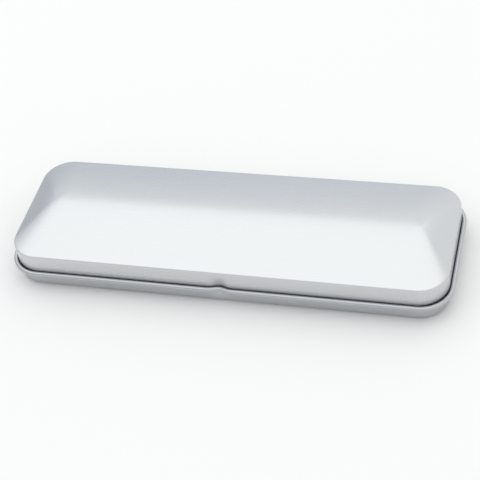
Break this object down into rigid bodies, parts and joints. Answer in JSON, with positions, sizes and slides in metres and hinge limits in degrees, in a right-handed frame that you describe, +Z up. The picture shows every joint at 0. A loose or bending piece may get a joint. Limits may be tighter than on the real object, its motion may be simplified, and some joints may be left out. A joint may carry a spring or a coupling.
{
  "type": "pencil tin",
  "caption": "Slim hinged sheet-metal tin for pencils, with a low hipped dome lid whose skirt drops inside the tray's rolled rim.",
  "frame": {"origin": "on the table under the middle of the tray's floor", "axes": "+X along the tin, +Y towards the hinged back, +Z up"},
  "size_m": [0.2044, 0.0692, 0.0249],
  "materials": {
    "tray_tinplate": "satin tinplate, lightly brushed",
    "lid_tinplate": "satin tinplate, lightly brushed",
    "pin_wire": "drawn wire"
  },
  "bodies": {
    "tray": {"base_tray": "tray_tinplate", "hinge_pin_left": "pin_wire", "hinge_pin_right": "pin_wire"},
    "lid": {"lid_shell": "lid_tinplate"}
  },
  "joints": [
    {"name": "lid_hinge", "type": "hinge", "parent": "tray", "child": "lid", "pos_m": [0, 0.03385, 0.0091], "axis": [-1, 0, 0], "range_deg": [0, 155]}
  ]
}
